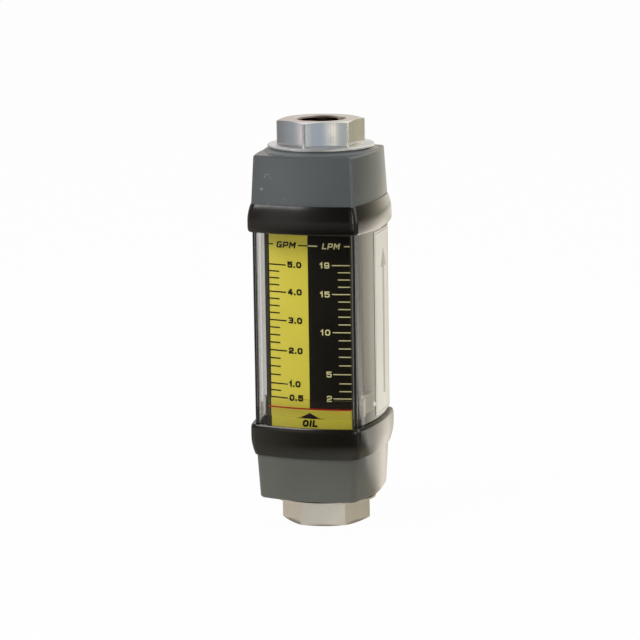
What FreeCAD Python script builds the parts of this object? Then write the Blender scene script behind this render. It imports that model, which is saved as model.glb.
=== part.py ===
import FreeCAD, Part
import math
import os

# In-line variable-area flow meter: a spring-loaded piston rides up a tapered metering cone inside
# a closed metal tube, and magnets carry an indicator along a scale inside a clear outer housing.
#
# Frame, in millimetres: +Z is the flow direction, upwards. The flow axis is the Z axis and the
# origin is the centre of the inlet's end face. The scale faces -Y. Both ends have the same pieces,
# so each end piece is made at the inlet and mirrored across the middle for the outlet.

V = FreeCAD.Vector
cut_margin = 1.0            # how far a cutting shape reaches past what it cuts

# ---- overall
overall_length = 168.0

# ---- port fittings
hex_across_flats = 31.75
hex_length = 10.2
hex_chamfer_angle = 12.0
hex_edge_round = 0.5
inlet_clocking = -15.7      # turn of each wrench hexagon from a corner at the front, in degrees
outlet_clocking = -3.7
flange_overhang = 0.4       # how far the flange stands past the cap's boss
flange_thickness = 1.2
flange_edge_bevel = 0.3
pipe_bore_radius = 9.75     # plain wall at the pitch radius of a half-inch taper pipe thread
pipe_bore_depth = 15.0
mouth_chamfer_width = 0.95
mouth_chamfer_depth = 0.8
passage_radius = 8.0
passage_length = 3.0
skirt_wall = 3.8
skirt_length = 22.6

# ---- pressure casing and its seals
casing_outer_radius = 16.0
casing_wall = 3.5
casing_fit = 0.05
seal_width = 2.0
seal_groove_width = 2.3
seal_groove_depth = 2.1
seal_from_skirt_end = 7.0
seal_corner_share = 0.3     # bevel at each corner of the seal's section, as a share of its width

# ---- spider plates and the rings that hold them
spider_thickness = 1.5
spider_seat_depth = 5.5     # from the casing's end to the shoulder that the spider rests on
spider_seat_step = 1.1      # how much wider than the casing's bore that seat is
spider_rim_width = 2.0
spider_hub_radius = 4.5
spoke_width = 2.4
spoke_count = 3
spider_fit = 0.1
snap_ring_thickness = 1.0
snap_ring_width = 1.9
snap_groove_depth = 0.7
snap_ring_gap = 46.0        # degrees of the ring that are open
snap_lug_radius = 1.5
snap_lug_angle = 7.0        # from each end of the ring to the middle of its lug
snap_lug_hole_radius = 0.6

# ---- metering cone and its nuts
piston_room = 5.7           # between the cone's straight part and the casing
cone_tip_radius = 3.6
cone_shoulder_radius = 3.4
cone_lead_in = 4.5
cone_tip_lead_out = 2.5
cone_taper_start = 1.5      # how far the straight part reaches past the orifice at rest
stud_radius = 2.0
stud_fit = 0.1
stud_past_nut = 0.4
nut_across_flats = 7.0
nut_thickness = 2.6

# ---- piston
travel = 60.0               # from rest to full flow; the cone's taper ends here
piston_running_gap = 0.05
piston_seat_gap = 0.05
piston_skirt_wall = 1.55
piston_shelf_depth = 3.4    # solid shelf under the magnet
magnet_height = 8.0
magnet_radial_depth = 2.35
magnet_inset = 0.25         # the magnet stands this far inside the piston's running surface
magnet_fit = 0.05
orifice_gap = 0.3
orifice_disc_width = 1.45
orifice_disc_thickness = 1.6
orifice_bevel = 0.8
retainer_thickness = 2.5
retainer_overlap = 1.4      # thickness of the retainer above the piston's neck

# ---- return spring
spring_wire = 1.1
spring_side_gap = 1.45      # between spring and casing
spring_turns = 9
spring_seat_thickness = 1.2
spring_seat_lip = 1.6
spring_seat_lip_width = 0.6
spring_fit = 0.35

# ---- outer housing
window_front_gap = 5.85     # between the indicator band and the window's front wall
window_rear_gap = 1.65      # between the follower and the window's rear wall
side_bow = 2.2
front_bow = 2.6
window_wall = 2.2
window_corner = 3.5
cap_boss_width = 1.5
cap_boss_height = 1.3
cap_boss_flare = 2.2        # how much wider the boss is where it meets the cap's face
cap_depth = 24.4
cap_draft = 1.2
cap_wall = 2.4
cap_floor = 2.6
cap_edge_bevel = 0.5
cap_least_corner = 0.5      # smallest corner inside the cap and at its bevel
cap_collar_wall = 2.0
cap_collar_reach = 2.2      # how far the collar stands past the port's skirt
cap_rib_width = 1.6
cap_rib_count = 8
lower_cap_corner = 3.6
upper_cap_corner = 1.5
turn_play = 0.1             # end play between port flange and cap
turn_clearance = 0.3        # radial clearance where the housing turns about the ports and casing

# ---- rubber bumpers
bumper_inner_edge = 44.1    # from each end of the meter
lower_bumper_height = 12.9
upper_bumper_height = 11.5
bumper_thickness = 1.6      # at its fullest
bumper_outer_lip = 0.4      # where it ends on the cap
bumper_inner_lip = 1.15     # where it ends on the window
bumper_shoulder = 0.16      # height of the rounding over the inner lip, as a share of the bumper's
bumper_fullest = 0.62       # where it is fullest, as a share of the height from the cap's side
bumper_corner = 3.8
bumper_steps = 5            # flat bands from the outer lip to the fullest place
bumper_rib = 1.0
bumper_fit = 0.05

# ---- scale, its carrier and the label
scale_overhang = 2.0        # how far the scale stands past the casing on each side
scale_thickness = 0.6
scale_bow_radius = 71.6
carrier_thickness = 1.2
carrier_gap = 0.4           # between carrier and casing
carrier_rail_width = 1.34
carrier_rail_proud = 0.25
carrier_collar_wall = 2.5
carrier_collar_length = 4.0
carrier_end_play = 0.1
label_thickness = 0.15
label_bond = 0.05           # between label and window
label_front = 4.0           # its end on the right side, ahead of the housing's centre line
label_left = 18.0           # its end on the rear, left of the housing's centre line
label_bottom_gap = 1.9      # from each bumper to the label
label_top_gap = 1.4

# ---- magnetic follower and indicator
follower_middle = 50.5      # rest height of the indicator line and of both sets of magnets
follower_height = 7.6
follower_wall = 3.3
follower_clearance = 0.3
follower_lug_depth = 2.4
follower_lug_root = 0.8     # where each lug starts, as a share of the follower's bore radius
follower_front_gap = 0.4    # between the follower and the back of the carrier's edge
follower_magnet_thickness = 1.9
follower_magnet_span = 30.0
follower_magnet_floor = 1.5
follower_magnet_fit = 0.05
follower_magnet_cover = 0.7
follower_magnet_angles = (0, 180)
slide_clearance = 0.2
band_gap = 1.3              # between the scale and the clear band
band_thickness = 0.8
band_leg_thickness = 0.8
band_post_width = 2.6
line_height = 0.9
line_thickness = 0.1

# ---- levels and sizes that follow from the above, measured from the inlet's end
skirt_radius = casing_outer_radius + skirt_wall
cap_bore_radius = skirt_radius + turn_clearance
cap_boss_radius = cap_bore_radius + cap_boss_width
flange_radius = cap_boss_radius + flange_overhang
flange_top = hex_length + flange_thickness
skirt_end = flange_top + skirt_length
casing_start = pipe_bore_depth + passage_length
casing_bore_radius = casing_outer_radius - casing_wall
spider_seat = casing_start + spider_seat_depth
spider_bottom = spider_seat - spider_thickness
spider_seat_radius = casing_bore_radius + spider_seat_step
cap_face = flange_top + turn_play + cap_boss_height
cap_rim = cap_face + cap_depth
window_end = cap_rim + bumper_rib
carrier_bottom = skirt_end + carrier_end_play
label_bottom = bumper_inner_edge + label_bottom_gap
label_top = overall_length - bumper_inner_edge - label_top_gap

piston_radius = casing_bore_radius - piston_running_gap
piston_bottom = spider_seat + piston_seat_gap
magnet_bottom = follower_middle - magnet_height / 2
magnet_top = magnet_bottom + magnet_height
magnet_outer_radius = piston_radius - magnet_inset
magnet_inner_radius = magnet_outer_radius - magnet_radial_depth
neck_radius = magnet_inner_radius - magnet_fit
cone_radius = casing_bore_radius - piston_room
orifice_radius = cone_radius + orifice_gap
disc_radius = orifice_radius + orifice_disc_width
piston_throat_radius = orifice_radius + orifice_bevel / 2
retainer_top = magnet_top + magnet_fit + retainer_thickness
neck_top = retainer_top - retainer_overlap
disc_top = follower_middle + orifice_disc_thickness
spring_mean_radius = casing_bore_radius - spring_side_gap - spring_wire / 2
spring_seat_face = overall_length - spider_seat - spring_seat_thickness

scale_front = -(casing_outer_radius + carrier_gap + carrier_thickness + scale_thickness)
bow_centre = scale_front + scale_bow_radius
band_front = band_gap + band_thickness
scale_half_width = casing_outer_radius + scale_overhang
carrier_half_width = scale_half_width + carrier_rail_width
leg_outer = carrier_half_width + slide_clearance + band_leg_thickness
follower_outer_radius = casing_outer_radius + follower_clearance + follower_wall
follower_bottom = follower_middle - follower_height / 2
follower_top = follower_bottom + follower_height


# ---- general helpers
def box(x0, x1, y0, y1, z0, z1):
    return Part.makeBox(x1 - x0, y1 - y0, z1 - z0, V(x0, y0, z0))


def disc(radius, z0, z1, centre=(0.0, 0.0)):
    return Part.makeCylinder(radius, z1 - z0, V(centre[0], centre[1], z0))


def ring(inner, outer, z0, z1, centre=(0.0, 0.0)):
    return disc(outer, z0, z1, centre).cut(disc(inner, z0, z1, centre))


def ring_sector(inner, outer, z0, z1, middle, span):
    """Part of a ring that covers span degrees about the direction middle."""
    wedge = Part.makeCylinder(outer, z1 - z0, V(0, 0, z0), V(0, 0, 1), span)
    wedge.rotate(V(0, 0, 0), V(0, 0, 1), middle - span / 2)
    return wedge.cut(disc(inner, z0, z1))


def turned(profile):
    """Solid of revolution about the flow axis, from (radius, z) corners."""
    points = [V(radius, 0, z) for radius, z in profile]
    return Part.Face(Part.makePolygon(points + points[:1])).revolve(V(), V(0, 0, 1), 360)


def hexagon_prism(across_flats, z0, z1, clocking=0.0):
    corner_radius = across_flats / math.sqrt(3)
    angles = [math.radians(clocking - 90 + 60 * i) for i in range(6)]
    points = [V(corner_radius * math.cos(a), corner_radius * math.sin(a), z0) for a in angles]
    return Part.Face(Part.makePolygon(points + points[:1])).extrude(V(0, 0, z1 - z0))


def one_solid(shape):
    """The shape without split faces, as a plain solid."""
    return shape.removeSplitter().Solids[0]


def at_outlet(shape):
    """The same piece at the other end of the meter."""
    return shape.mirror(V(0, 0, overall_length / 2), V(0, 0, 1))


def edges_parallel_to_axis(shape, radius):
    """Straight upright edges that lie at this distance from the flow axis."""
    found = []
    for edge in shape.Edges:
        first, last = edge.Vertexes[0].Point, edge.Vertexes[-1].Point
        upright = math.hypot(first.x - last.x, first.y - last.y) < 1e-6 and first != last
        if upright and abs(math.hypot(first.x, first.y) - radius) < 1e-3:
            found.append(edge)
    return found


# ---- the housing's bowed four-sided outline; the window clears the indicator and the follower
def bow_radius(half_chord, bow):
    return (half_chord ** 2 + bow ** 2) / (2 * bow)


housing_front = scale_front - band_front - window_front_gap - window_wall
housing_rear = follower_outer_radius + window_rear_gap + window_wall
housing_half_depth = (housing_rear - housing_front) / 2
housing_offset = (housing_rear + housing_front) / 2
side_half_chord = housing_half_depth - front_bow - window_corner
inner_side_radius = bow_radius(side_half_chord, side_bow) + window_corner - window_wall
legs_from_centre = scale_front - band_front - housing_offset
side_drop_at_legs = inner_side_radius - math.sqrt(inner_side_radius ** 2 - legs_from_centre ** 2)
housing_half_width = leg_outer + slide_clearance + side_drop_at_legs + window_wall


def bowed_outline(half_x, half_y, corner, z):
    """Closed wire of four bowed sides joined by tangent corner arcs, about the housing's centre."""
    corner_x = half_x - side_bow - corner
    corner_y = half_y - front_bow - corner
    front_radius = bow_radius(corner_x, front_bow)
    side_radius = bow_radius(corner_y, side_bow)
    front_normal = (corner_x / front_radius, 1 - front_bow / front_radius)
    side_normal = (1 - side_bow / side_radius, corner_y / side_radius)
    diagonal = math.hypot(front_normal[0] + side_normal[0], front_normal[1] + side_normal[1])
    corner_normal = tuple((f + s) / diagonal for f, s in zip(front_normal, side_normal))

    def point(sign, normal):
        return V(sign[0] * (corner_x + corner * normal[0]),
                 housing_offset + sign[1] * (corner_y + corner * normal[1]), z)

    corners = [(-1, -1), (1, -1), (1, 1), (-1, 1)]
    middles = [V(0, housing_offset - half_y, z), V(half_x, housing_offset, z),
               V(0, housing_offset + half_y, z), V(-half_x, housing_offset, z)]
    edges = []
    for i, here in enumerate(corners):
        following = corners[(i + 1) % 4]
        normal, next_normal = ((front_normal, side_normal), (side_normal, front_normal))[i % 2]
        edges.append(Part.Arc(point(here, normal), middles[i], point(following, normal)).toShape())
        edges.append(Part.Arc(point(following, normal), point(following, corner_normal),
                              point(following, next_normal)).toShape())
    return Part.Wire(edges)


def bowed_prism(inset, corner, z0, z1):
    """Upright prism on the housing's outline, moved in by inset from the window's surface."""
    wire = bowed_outline(housing_half_width - inset, housing_half_depth - inset, corner, z0)
    return Part.Face(wire).extrude(V(0, 0, z1 - z0))


def bowed_loft(sections):
    """Solid through outlines given as (inset, corner, z)."""
    wires = [bowed_outline(housing_half_width - inset, housing_half_depth - inset, corner, z)
             for inset, corner, z in sections]
    return Part.makeLoft(wires, True, False)


# ---- port fittings
def port(clocking):
    """Inlet fitting: wrench hexagon, flange and a skirt that screws over the casing's end."""
    hexagon = hexagon_prism(hex_across_flats, 0, hex_length, clocking)
    corner_radius = hex_across_flats / math.sqrt(3)
    hexagon = hexagon.makeFillet(hex_edge_round, edges_parallel_to_axis(hexagon, corner_radius))
    face_radius = hex_across_flats / 2
    chamfer_height = (corner_radius - face_radius) * math.tan(math.radians(hex_chamfer_angle))
    hexagon = hexagon.common(turned([(0, 0), (face_radius, 0), (corner_radius, chamfer_height),
                                     (corner_radius, hex_length), (0, hex_length)]))
    flange = turned([(0, hex_length), (flange_radius - flange_edge_bevel, hex_length),
                     (flange_radius, hex_length + flange_edge_bevel),
                     (flange_radius, flange_top - flange_edge_bevel),
                     (flange_radius - flange_edge_bevel, flange_top), (0, flange_top)])
    skirt = disc(skirt_radius, flange_top, skirt_end)
    mouth_radius = pipe_bore_radius + mouth_chamfer_width
    socket_radius = casing_outer_radius + casing_fit
    groove_middle = skirt_end - seal_from_skirt_end
    groove_radius = casing_outer_radius + seal_groove_depth
    hollow = turned([(0, 0), (mouth_radius, 0), (pipe_bore_radius, mouth_chamfer_depth),
                     (pipe_bore_radius, pipe_bore_depth), (passage_radius, pipe_bore_depth),
                     (passage_radius, casing_start), (socket_radius, casing_start),
                     (socket_radius, groove_middle - seal_groove_width / 2),
                     (groove_radius, groove_middle - seal_groove_width / 2),
                     (groove_radius, groove_middle + seal_groove_width / 2),
                     (socket_radius, groove_middle + seal_groove_width / 2),
                     (socket_radius, skirt_end), (0, skirt_end)])
    return one_solid(hexagon.fuse([flange, skirt]).cut(hollow))


# ---- pressure casing, seals, spiders and retaining rings
def casing_tube():
    """Pressure tube; each end has a seat for a spider and a groove for its retaining ring."""
    tube = disc(casing_outer_radius, casing_start, overall_length - casing_start)
    tube = tube.cut(disc(casing_bore_radius, casing_start, overall_length - casing_start))
    seat = disc(spider_seat_radius, casing_start, spider_seat)
    groove = disc(spider_seat_radius + snap_groove_depth,
                  spider_bottom - snap_ring_thickness, spider_bottom)
    end_cut = seat.fuse(groove)
    return one_solid(tube.cut(end_cut).cut(at_outlet(end_cut)))


def casing_seal():
    """Rubber ring with an eight-sided section, between casing and port."""
    middle = skirt_end - seal_from_skirt_end
    inner = casing_outer_radius + casing_fit
    outer = casing_outer_radius + seal_groove_depth - casing_fit
    centre = (inner + outer) / 2
    half_depth, half_width = (outer - inner) / 2, seal_width / 2
    nip = seal_width * seal_corner_share
    return turned([(centre - half_depth, middle - half_width + nip),
                   (centre - half_depth + nip, middle - half_width),
                   (centre + half_depth - nip, middle - half_width),
                   (centre + half_depth, middle - half_width + nip),
                   (centre + half_depth, middle + half_width - nip),
                   (centre + half_depth - nip, middle + half_width),
                   (centre - half_depth + nip, middle + half_width),
                   (centre - half_depth, middle + half_width - nip)])


def spider():
    """Rim, hub and spokes that centre the metering cone and let the flow through."""
    rim_radius = spider_seat_radius - spider_fit
    rim = ring(rim_radius - spider_rim_width, rim_radius, spider_bottom, spider_seat)
    hub = disc(spider_hub_radius, spider_bottom, spider_seat)
    spokes = []
    for i in range(spoke_count):
        spoke = box(0, rim_radius - spider_rim_width / 2, -spoke_width / 2, spoke_width / 2,
                    spider_bottom, spider_seat)
        spoke.rotate(V(), V(0, 0, 1), 90 + i * 360 / spoke_count)
        spokes.append(spoke)
    bore = disc(stud_radius + stud_fit, spider_bottom, spider_seat)
    return one_solid(hub.fuse([rim] + spokes).cut(bore))


def retaining_ring():
    """Open internal ring with a holed lug at each end, sprung into the casing's groove."""
    top = spider_bottom
    bottom = top - snap_ring_thickness
    outer = spider_seat_radius + snap_groove_depth - spider_fit
    inner = outer - snap_ring_width
    body = ring_sector(inner, outer, bottom, top, 90, 360 - snap_ring_gap)
    shapes, holes = [], []
    for side in (-1, 1):
        angle = math.radians(-90 + side * (snap_ring_gap / 2 + snap_lug_angle))
        centre = (inner * math.cos(angle), inner * math.sin(angle))
        shapes.append(disc(snap_lug_radius, bottom, top, centre))
        holes.append(disc(snap_lug_hole_radius, bottom, top, centre))
    return one_solid(body.fuse(shapes).cut(holes[0].fuse(holes[1])))


# ---- metering cone
def nut_face():
    return spider_bottom - nut_thickness


def metering_cone():
    """Tapered shaft between the spiders, with a threaded stud at each end."""
    bottom, top = spider_seat, overall_length - spider_seat
    stud_end = nut_face() - stud_past_nut
    taper_start = disc_top + cone_taper_start
    return turned([(0, stud_end), (stud_radius, stud_end), (stud_radius, bottom),
                   (cone_shoulder_radius, bottom), (cone_radius, bottom + cone_lead_in),
                   (cone_radius, taper_start), (cone_tip_radius, disc_top + travel),
                   (cone_tip_radius, top - cone_tip_lead_out),
                   (cone_shoulder_radius, top), (stud_radius, top),
                   (stud_radius, overall_length - stud_end), (0, overall_length - stud_end)])


def cone_nut():
    """Hexagon nut that draws the cone against its spider."""
    nut = hexagon_prism(nut_across_flats, nut_face(), spider_bottom)
    return one_solid(nut.cut(disc(stud_radius + stud_fit, nut_face(), spider_bottom)))


# ---- piston
def piston():
    """Long guide skirt, a shelf for the magnet and a neck that holds the orifice disc."""
    skirt_bore = piston_radius - piston_skirt_wall
    shelf_bottom = magnet_bottom - piston_shelf_depth
    disc_bottom = disc_top - orifice_disc_thickness
    return turned([(skirt_bore, piston_bottom), (piston_radius, piston_bottom),
                   (piston_radius, magnet_bottom), (neck_radius, magnet_bottom),
                   (neck_radius, neck_top), (disc_radius + magnet_fit, neck_top),
                   (disc_radius + magnet_fit, disc_bottom), (piston_throat_radius, disc_bottom),
                   (piston_throat_radius, magnet_bottom), (skirt_bore, shelf_bottom)])


def orifice_disc():
    """Sharp-edged disc: the ring-shaped gap between it and the cone sets the flow."""
    bottom = disc_top - orifice_disc_thickness
    return turned([(orifice_radius, bottom), (disc_radius, bottom), (disc_radius, disc_top),
                   (orifice_radius + orifice_bevel, disc_top)])


def transfer_magnet():
    return ring(magnet_inner_radius, magnet_outer_radius, magnet_bottom, magnet_top)


def magnet_retainer():
    """Ring nut that clamps the magnet outside the neck and the orifice disc inside it."""
    inner = orifice_radius + orifice_bevel
    bottom = magnet_top + magnet_fit
    outer = piston_radius - magnet_fit
    return turned([(inner, disc_top), (disc_radius, disc_top), (disc_radius, neck_top),
                   (neck_radius + magnet_fit, neck_top), (neck_radius + magnet_fit, bottom),
                   (outer, bottom), (outer, retainer_top), (inner, retainer_top)])


# ---- return spring
def return_spring():
    """Calibrated compression spring from the piston's retainer up to the spring seat."""
    height = spring_seat_face - retainer_top - spring_wire
    helix = Part.makeHelix(height / spring_turns, height, spring_mean_radius)
    half = spring_wire / 2
    corners = [V(spring_mean_radius + dx * half, 0, dz * half)
               for dx, dz in ((-1, -1), (1, -1), (1, 1), (-1, 1), (-1, -1))]
    coil = Part.Wire(helix.Edges).makePipeShell([Part.makePolygon(corners)], True, True)
    coil.translate(V(0, 0, retainer_top + half))
    return coil


def spring_seat():
    """Flanged ring under the upper spider that centres the spring's top turn."""
    top = spring_seat_face + spring_seat_thickness
    lip_outer = spring_mean_radius - spring_wire / 2 - spring_fit
    lip_inner = lip_outer - spring_seat_lip_width
    outer = casing_bore_radius - spider_fit
    return turned([(lip_inner, spring_seat_face - spring_seat_lip),
                   (lip_outer, spring_seat_face - spring_seat_lip),
                   (lip_outer, spring_seat_face), (outer, spring_seat_face), (outer, top),
                   (lip_inner, top)])


# ---- housing
def cap_inset(z):
    """The cap's side draws in towards its outer face."""
    return cap_draft * (cap_rim - z) / cap_depth


def end_cap(corner):
    """Hollow drafted cap with a flared boss, a ribbed collar round the port's skirt and a notch."""
    edge = cap_face + cap_edge_bevel
    end_corner = max(corner - cap_edge_bevel, cap_least_corner)
    shell = bowed_loft([(cap_inset(edge), corner, edge), (0, corner, cap_rim)])
    bevel = bowed_loft([(cap_inset(edge) + cap_edge_bevel, end_corner, cap_face),
                        (cap_inset(edge), corner, edge)])
    shell = shell.fuse(bevel)
    floor = cap_face + cap_floor
    inner_corner = max(corner - cap_wall, cap_least_corner)
    hollow = bowed_loft([(cap_inset(floor) + cap_wall, inner_corner, floor),
                         (cap_wall, inner_corner, cap_rim)])
    collar_radius = cap_bore_radius + cap_collar_wall
    collar_end = skirt_end + cap_collar_reach
    collar = disc(collar_radius, cap_face, collar_end)
    boss_base = cap_boss_radius + cap_boss_flare
    boss = turned([(0, cap_face - cap_boss_height), (cap_boss_radius, cap_face - cap_boss_height),
                   (boss_base, cap_face), (boss_base, floor), (0, floor)])
    above_face = bowed_prism(cap_inset(edge) + cap_edge_bevel, end_corner,
                             cap_face - cap_boss_height, cap_face)
    boss = boss.common(shell.fuse(above_face))
    ribs = []
    for i in range(cap_rib_count):
        rib = box(collar_radius - cap_collar_wall / 2, housing_half_width + housing_half_depth,
                  -cap_rib_width / 2, cap_rib_width / 2, cap_face, collar_end)
        rib.rotate(V(), V(0, 0, 1), (i + 0.5) * 360 / cap_rib_count)
        ribs.append(rib.common(hollow))
    notch_half = carrier_half_width + slide_clearance
    notch = box(-notch_half, notch_half, -collar_radius - cut_margin, 0, skirt_end, collar_end)
    notch = notch.cut(disc(cap_bore_radius, skirt_end, collar_end))
    notch = notch.common(disc(collar_radius, skirt_end, collar_end))
    bore = disc(cap_bore_radius, cap_face - cap_boss_height, collar_end)
    cap = shell.cut(hollow).fuse([boss, collar] + ribs).cut(bore).cut(notch)
    return one_solid(cap)


def bumper(height, cap_corner):
    """Rubber guard that bulges outside, with a rib inside that seals cap against window."""
    outer_edge = bumper_inner_edge - height
    swell = bumper_thickness - bumper_outer_lip
    shares = [bumper_fullest * i / bumper_steps for i in range(bumper_steps + 1)]
    profile = [(share, bumper_thickness - swell * (1 - share / bumper_fullest) ** 2)
               for share in shares]
    rounding = bumper_thickness - bumper_inner_lip
    profile += [(1 - bumper_shoulder, bumper_thickness),
                (1 - bumper_shoulder / 3, bumper_thickness - rounding / 3), (1, bumper_inner_lip)]
    sections = [(-proud, bumper_corner, outer_edge + height * share) for share, proud in profile]
    band = bowed_loft(sections)
    cap_pocket = bowed_loft([(cap_inset(cap_face) - bumper_fit, cap_corner, cap_face),
                             (-bumper_fit, cap_corner, cap_rim)])
    window_pocket = bowed_prism(-bumper_fit, window_corner, window_end,
                                bumper_inner_edge + cut_margin)
    opening = bowed_prism(cap_wall, window_corner - window_wall, cap_rim - cut_margin,
                          window_end + cut_margin)
    return one_solid(band.cut(cap_pocket).cut(window_pocket).cut(opening))


def window():
    """Clear tube with four bowed walls."""
    top = overall_length - window_end
    outer = bowed_prism(0, window_corner, window_end, top)
    return outer.cut(bowed_prism(window_wall, window_corner - window_wall, window_end, top))


def wrap_label():
    """Thin label from the window's right side round to its rear."""
    skin = bowed_prism(-label_bond - label_thickness, window_corner, label_bottom, label_top)
    skin = skin.cut(bowed_prism(-label_bond, window_corner, label_bottom, label_top))
    reach = housing_half_width + housing_half_depth
    right = box(0, reach, housing_offset - label_front, reach, label_bottom, label_top)
    rear = box(-label_left, reach, housing_offset + housing_half_depth - front_bow - window_corner,
               reach, label_bottom, label_top)
    return one_solid(skin.common(right.fuse(rear)))


# ---- scale and carrier
def bowed_plate(front, thickness, half_width, z0, z1):
    """Upright plate on the scale's bow; front is how far its front stands ahead of the scale's."""
    radius = scale_bow_radius + front
    centre = (0.0, bow_centre)
    shell = ring(radius - thickness, radius, z0, z1, centre)
    return shell.common(box(-half_width, half_width, bow_centre - radius, 0, z0, z1))


def bow_y(front, x):
    """Depth of a surface on the scale's bow at the side distance x."""
    return bow_centre - math.sqrt((scale_bow_radius + front) ** 2 - x ** 2)


def scale_carrier():
    """Black channel behind the scale, with a collar round the casing at each end."""
    top = overall_length - carrier_bottom
    plate = bowed_plate(-scale_thickness, carrier_thickness, carrier_half_width,
                        carrier_bottom, top)
    rails = bowed_plate(carrier_rail_proud, scale_thickness + carrier_rail_proud,
                        carrier_half_width, carrier_bottom, top)
    gap = scale_half_width + casing_fit
    rails = rails.cut(box(-gap, gap, scale_front - cut_margin, 0, carrier_bottom, top))
    inner = casing_outer_radius + turn_clearance
    outer = inner + carrier_collar_wall
    collar = ring(inner, outer, carrier_bottom, carrier_bottom + carrier_collar_length)
    return one_solid(plate.fuse([rails, collar, at_outlet(collar)]))


def scale_plate():
    """Bowed plate with the flow scale, between the carrier's collars."""
    bottom = carrier_bottom + carrier_collar_length
    return bowed_plate(0, scale_thickness, scale_half_width, bottom, overall_length - bottom)


# ---- magnetic follower and indicator
def follower_front():
    """Depth of the follower's front faces, just behind the carrier's edges."""
    back_of_edge = bow_y(-scale_thickness - carrier_thickness, carrier_half_width)
    return back_of_edge + follower_front_gap


def follower_ring():
    """Open ring round the casing with a lug at each front end and a pocket for each magnet."""
    inner, outer = casing_outer_radius + follower_clearance, follower_outer_radius
    front, root = follower_front(), inner * follower_lug_root
    body = ring(inner, outer, follower_bottom, follower_top)
    lugs = [box(min(x0, x1), max(x0, x1), front, front + follower_lug_depth,
                follower_bottom, follower_top)
            for x0, x1 in ((root, leg_outer), (-root, -leg_outer))]
    body = body.fuse(lugs).cut(disc(inner, follower_bottom, follower_top))
    body = body.cut(box(-outer, outer, -outer - cut_margin, front, follower_bottom, follower_top))
    for middle in follower_magnet_angles:
        body = body.cut(follower_magnet(middle, follower_magnet_fit))
    return one_solid(body)


def follower_magnet(middle, grown=0.0):
    """Curved magnet at the direction middle, grown on every side for its own pocket."""
    inner = casing_outer_radius + follower_clearance + follower_magnet_cover
    bottom = follower_bottom + follower_magnet_floor
    extra_span = math.degrees(2 * grown / inner)
    return ring_sector(inner - grown, inner + follower_magnet_thickness + grown, bottom - grown,
                       follower_top + grown, middle, follower_magnet_span + extra_span)


def indicator_band():
    """Clear bowed band in front of the scale; its legs reach back past the carrier's edges."""
    band = bowed_plate(band_front, band_thickness, leg_outer, follower_bottom, follower_top)
    behind_front = disc(scale_bow_radius + band_front, follower_bottom, follower_top,
                        (0.0, bow_centre))
    post_back = bow_y(carrier_rail_proud, leg_outer - band_post_width) - slide_clearance
    ends = []
    for side in (-1, 1):
        for width, back in ((band_leg_thickness, follower_front()), (band_post_width, post_back)):
            x0, x1 = sorted((side * (leg_outer - width), side * leg_outer))
            end = box(x0, x1, scale_front - band_front, back, follower_bottom, follower_top)
            ends.append(end.common(behind_front))
    return one_solid(band.fuse(ends))


def indicator_line():
    """Thin red line printed across the middle of the band."""
    return bowed_plate(band_front + line_thickness, line_thickness, leg_outer,
                       follower_middle - line_height / 2, follower_middle + line_height / 2)


def make_parts():
    """Every piece of the meter by its node name."""
    return {
        "inlet_port": port(inlet_clocking),
        "outlet_port": at_outlet(port(outlet_clocking)),
        "casing_tube": casing_tube(),
        "lower_casing_seal": casing_seal(),
        "upper_casing_seal": at_outlet(casing_seal()),
        "lower_spider": spider(),
        "upper_spider": at_outlet(spider()),
        "lower_retaining_ring": retaining_ring(),
        "upper_retaining_ring": at_outlet(retaining_ring()),
        "metering_cone": metering_cone(),
        "lower_cone_nut": cone_nut(),
        "upper_cone_nut": at_outlet(cone_nut()),
        "spring_seat": spring_seat(),
        "return_spring": return_spring(),
        "piston": piston(),
        "orifice_disc": orifice_disc(),
        "transfer_magnet": transfer_magnet(),
        "magnet_retainer": magnet_retainer(),
        "lower_end_cap": end_cap(lower_cap_corner),
        "upper_end_cap": at_outlet(end_cap(upper_cap_corner)),
        "lower_bumper": bumper(lower_bumper_height, lower_cap_corner),
        "upper_bumper": at_outlet(bumper(upper_bumper_height, upper_cap_corner)),
        "window": window(),
        "wrap_label": wrap_label(),
        "scale_carrier": scale_carrier(),
        "scale_plate": scale_plate(),
        "follower_ring": follower_ring(),
        "follower_magnet_right": follower_magnet(follower_magnet_angles[0]),
        "follower_magnet_left": follower_magnet(follower_magnet_angles[1]),
        "indicator_band": indicator_band(),
        "indicator_line": indicator_line(),
    }


os.makedirs("parts", exist_ok=True)
for node, shape in make_parts().items():
    shape.exportStep(os.path.join("parts", node + ".step"))
    print(node, len(shape.Solids), shape.isValid(), round(shape.Volume, 1))
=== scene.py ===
import math

import bpy
from mathutils import Matrix, Vector
from mathutils.bvhtree import BVHTree


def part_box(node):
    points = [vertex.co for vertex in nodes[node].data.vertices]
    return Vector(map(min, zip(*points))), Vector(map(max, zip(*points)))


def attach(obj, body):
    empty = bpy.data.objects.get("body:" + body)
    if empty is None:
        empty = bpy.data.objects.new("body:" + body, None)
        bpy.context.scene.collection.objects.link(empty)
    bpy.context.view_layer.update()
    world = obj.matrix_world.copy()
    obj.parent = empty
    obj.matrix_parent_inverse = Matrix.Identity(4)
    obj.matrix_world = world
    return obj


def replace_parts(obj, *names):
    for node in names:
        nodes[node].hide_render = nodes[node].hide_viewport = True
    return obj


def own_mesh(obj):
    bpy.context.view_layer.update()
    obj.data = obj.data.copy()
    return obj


# Looks for an in-line flow meter: metal ports, grey end caps, black guards and a clear window over
# a printed scale. Lengths are in metres; MM turns millimetres into metres. The scale faces -Y.

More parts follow.
